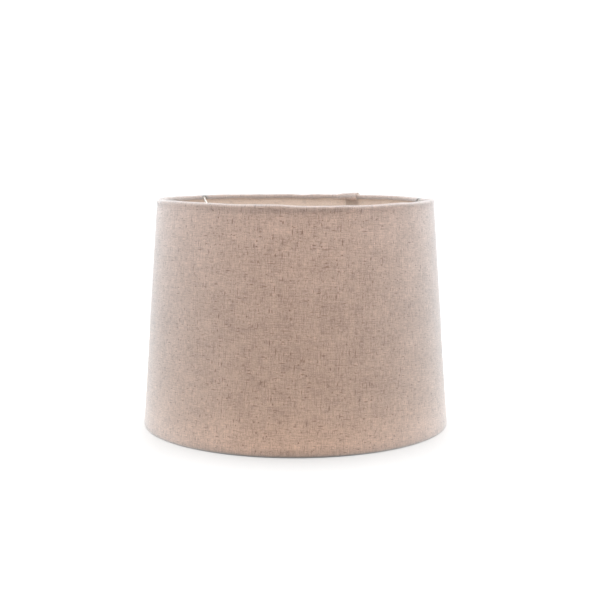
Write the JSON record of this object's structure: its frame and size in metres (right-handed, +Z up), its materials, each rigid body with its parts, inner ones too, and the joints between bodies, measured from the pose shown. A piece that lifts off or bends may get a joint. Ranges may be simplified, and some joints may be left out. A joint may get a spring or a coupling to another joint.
{
  "type": "lamp shade",
  "caption": "Tapered drum lamp shade in oatmeal linen with rolled edges over wire rings, a lap seam at the back and a dropped spider fitter.",
  "frame": {"origin": "centre of the bottom rim, on the plane that the shade stands on", "axes": "+Z up along the axis of the drum; -Y is the front, with the lap seam at the back, towards +X"},
  "size_m": [0.2797, 0.2797, 0.2063],
  "materials": {
    "linen": "matte slubbed oatmeal linen with dark flecks",
    "liner_sheet": "white translucent sheet, satin",
    "adhesive_tape": "double-sided tape, dull",
    "coated_wire": "white powder coat, semi-gloss",
    "coated_plate": "white powder coat, semi-gloss"
  },
  "bodies": {
    "root": {"linen_cover": "linen", "backing_liner": "liner_sheet", "seam_tape": "adhesive_tape", "top_ring": "coated_wire", "bottom_ring": "coated_wire", "spider_arm_1": "coated_wire", "spider_arm_2": "coated_wire", "spider_arm_3": "coated_wire", "fitter_ring": "coated_plate"}
  },
  "joints": []
}
